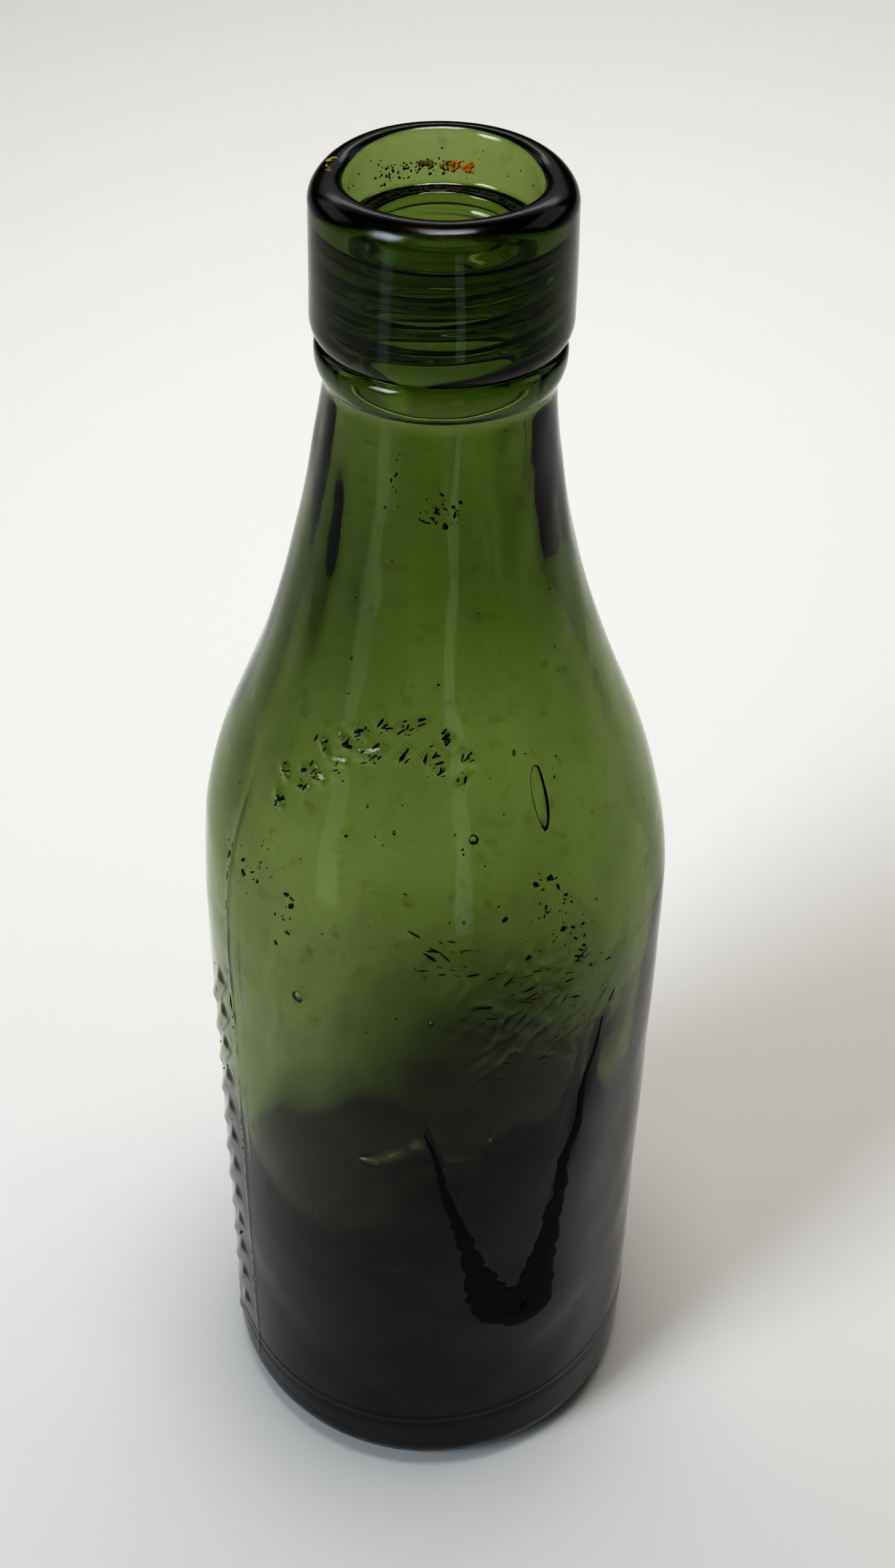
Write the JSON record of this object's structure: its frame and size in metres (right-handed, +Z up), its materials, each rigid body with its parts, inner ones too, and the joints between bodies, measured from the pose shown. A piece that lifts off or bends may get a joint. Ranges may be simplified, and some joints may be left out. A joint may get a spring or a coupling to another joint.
{
  "type": "glass bottle",
  "caption": "Tall round bottle of thick green glass, with a sloping shoulder, flared neck, collar ring and thick straight lip over an internal screw thread; it stores and pours drink.",
  "frame": {"origin": "centre of the resting ring under the base, on the surface that the bottle stands on", "axes": "+Z up along the bottle's axis from base to rim; +X to the right and +Y to the back, seen from the side with the raised marks at its left"},
  "size_m": [0.075, 0.075, 0.246],
  "materials": {
    "body_glass": "glossy thick olive green, darker towards the base, with bubbles, ripples and scuffs",
    "lip_glass": "glossy thick olive green, tooled, with small chips and rust in the mouth"
  },
  "bodies": {
    "root": {"base": "body_glass", "barrel": "body_glass", "shoulder": "body_glass", "neck": "body_glass", "throat": "lip_glass", "collar_ring": "lip_glass", "applied_lip": "lip_glass"}
  },
  "joints": []
}
